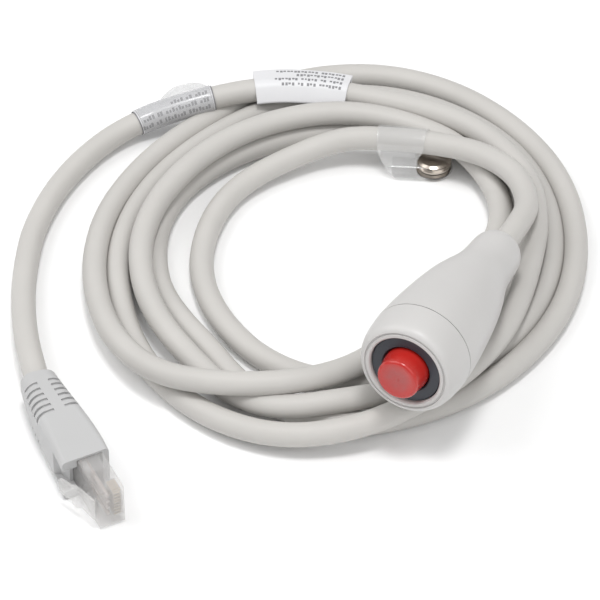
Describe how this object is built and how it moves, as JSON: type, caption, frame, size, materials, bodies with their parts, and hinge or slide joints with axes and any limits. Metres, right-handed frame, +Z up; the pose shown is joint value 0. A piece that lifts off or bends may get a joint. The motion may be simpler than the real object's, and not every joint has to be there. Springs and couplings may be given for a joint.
{
  "type": "pendant call handset",
  "caption": "Cone-shaped pendant handset with a push button, on a loosely coiled cord that ends in a booted modular plug with a latch.",
  "frame": {"origin": "centre of the handset's box (the handset without its cord and what is on the cord)", "axes": "+Z up; the handset's axis lies in the YZ plane with the button towards -Y and the neck towards +Y, nose-up by 8.3 degrees; the coil lies flat under it, towards -X"},
  "size_m": [0.1432, 0.1798, 0.0392],
  "materials": {
    "housing_plastic": "very light warm grey, fine satin, slightly soft",
    "cord_jacket": "light warm grey soft jacket, satin",
    "boot_plastic": "light grey soft moulding, matte",
    "button_red": "red with a worn, frosted face",
    "switch_black": "dark grey, moulded",
    "nickel": "warm nickel plating, slightly worn",
    "steel": "plain steel",
    "brass": "bright",
    "gold": "gold plated",
    "clear_plastic": "clear polycarbonate",
    "clear_vinyl": "clear soft film",
    "label_white": "white, satin",
    "wire_insulation": "thin coloured insulation"
  },
  "bodies": {
    "pendant": {"front_cap": "housing_plastic", "handset_body": "housing_plastic", "switch_barrel": "switch_black", "return_spring": "steel", "lock_washer": "steel", "mounting_nut": "nickel", "switch_base": "switch_black", "fixed_contacts": "brass", "handset_wires": "wire_insulation", "cord_ferrule": "nickel", "cord_in_neck": "cord_jacket", "handset_tail": "cord_jacket", "cord_coil": "cord_jacket", "plug_lead": "cord_jacket", "sleeve_label": "label_white", "sleeve_film": "clear_vinyl", "flag_label": "label_white", "clip_strap": "clear_vinyl", "snap_eyelet": "nickel", "snap_stud": "nickel", "plug_boot": "boot_plastic", "plug_housing": "clear_plastic", "plug_contacts": "gold", "plug_wires": "wire_insulation", "plug_load_bar": "clear_plastic", "cord_in_plug": "cord_jacket"},
    "push_button": {"button": "button_red", "plunger": "switch_black", "contact_bridge": "brass"},
    "latch": {"plug_latch": "clear_plastic"},
    "snap_top": {"snap_socket": "nickel", "snap_cap": "nickel"}
  },
  "joints": [
    {"name": "button_press", "type": "slide", "parent": "pendant", "child": "push_button", "axis": [0, 0.9895, -0.1444], "range_m": [0, 0.0025], "stiffness_N_per_m": 800, "springref_m": -0.002, "deforming": ["return_spring"]},
    {"name": "latch_flex", "type": "hinge", "parent": "pendant", "child": "latch", "pos_m": [-0.05478, -0.08233, -0.01903], "axis": [0, 0, 1], "range_deg": [0, 12], "stiffness_Nm_per_rad": 0.05},
    {"name": "snap_release", "type": "slide", "parent": "pendant", "child": "snap_top", "axis": [0, 0, 1], "range_m": [0, 0.0009], "deforming": ["clip_strap"]}
  ]
}
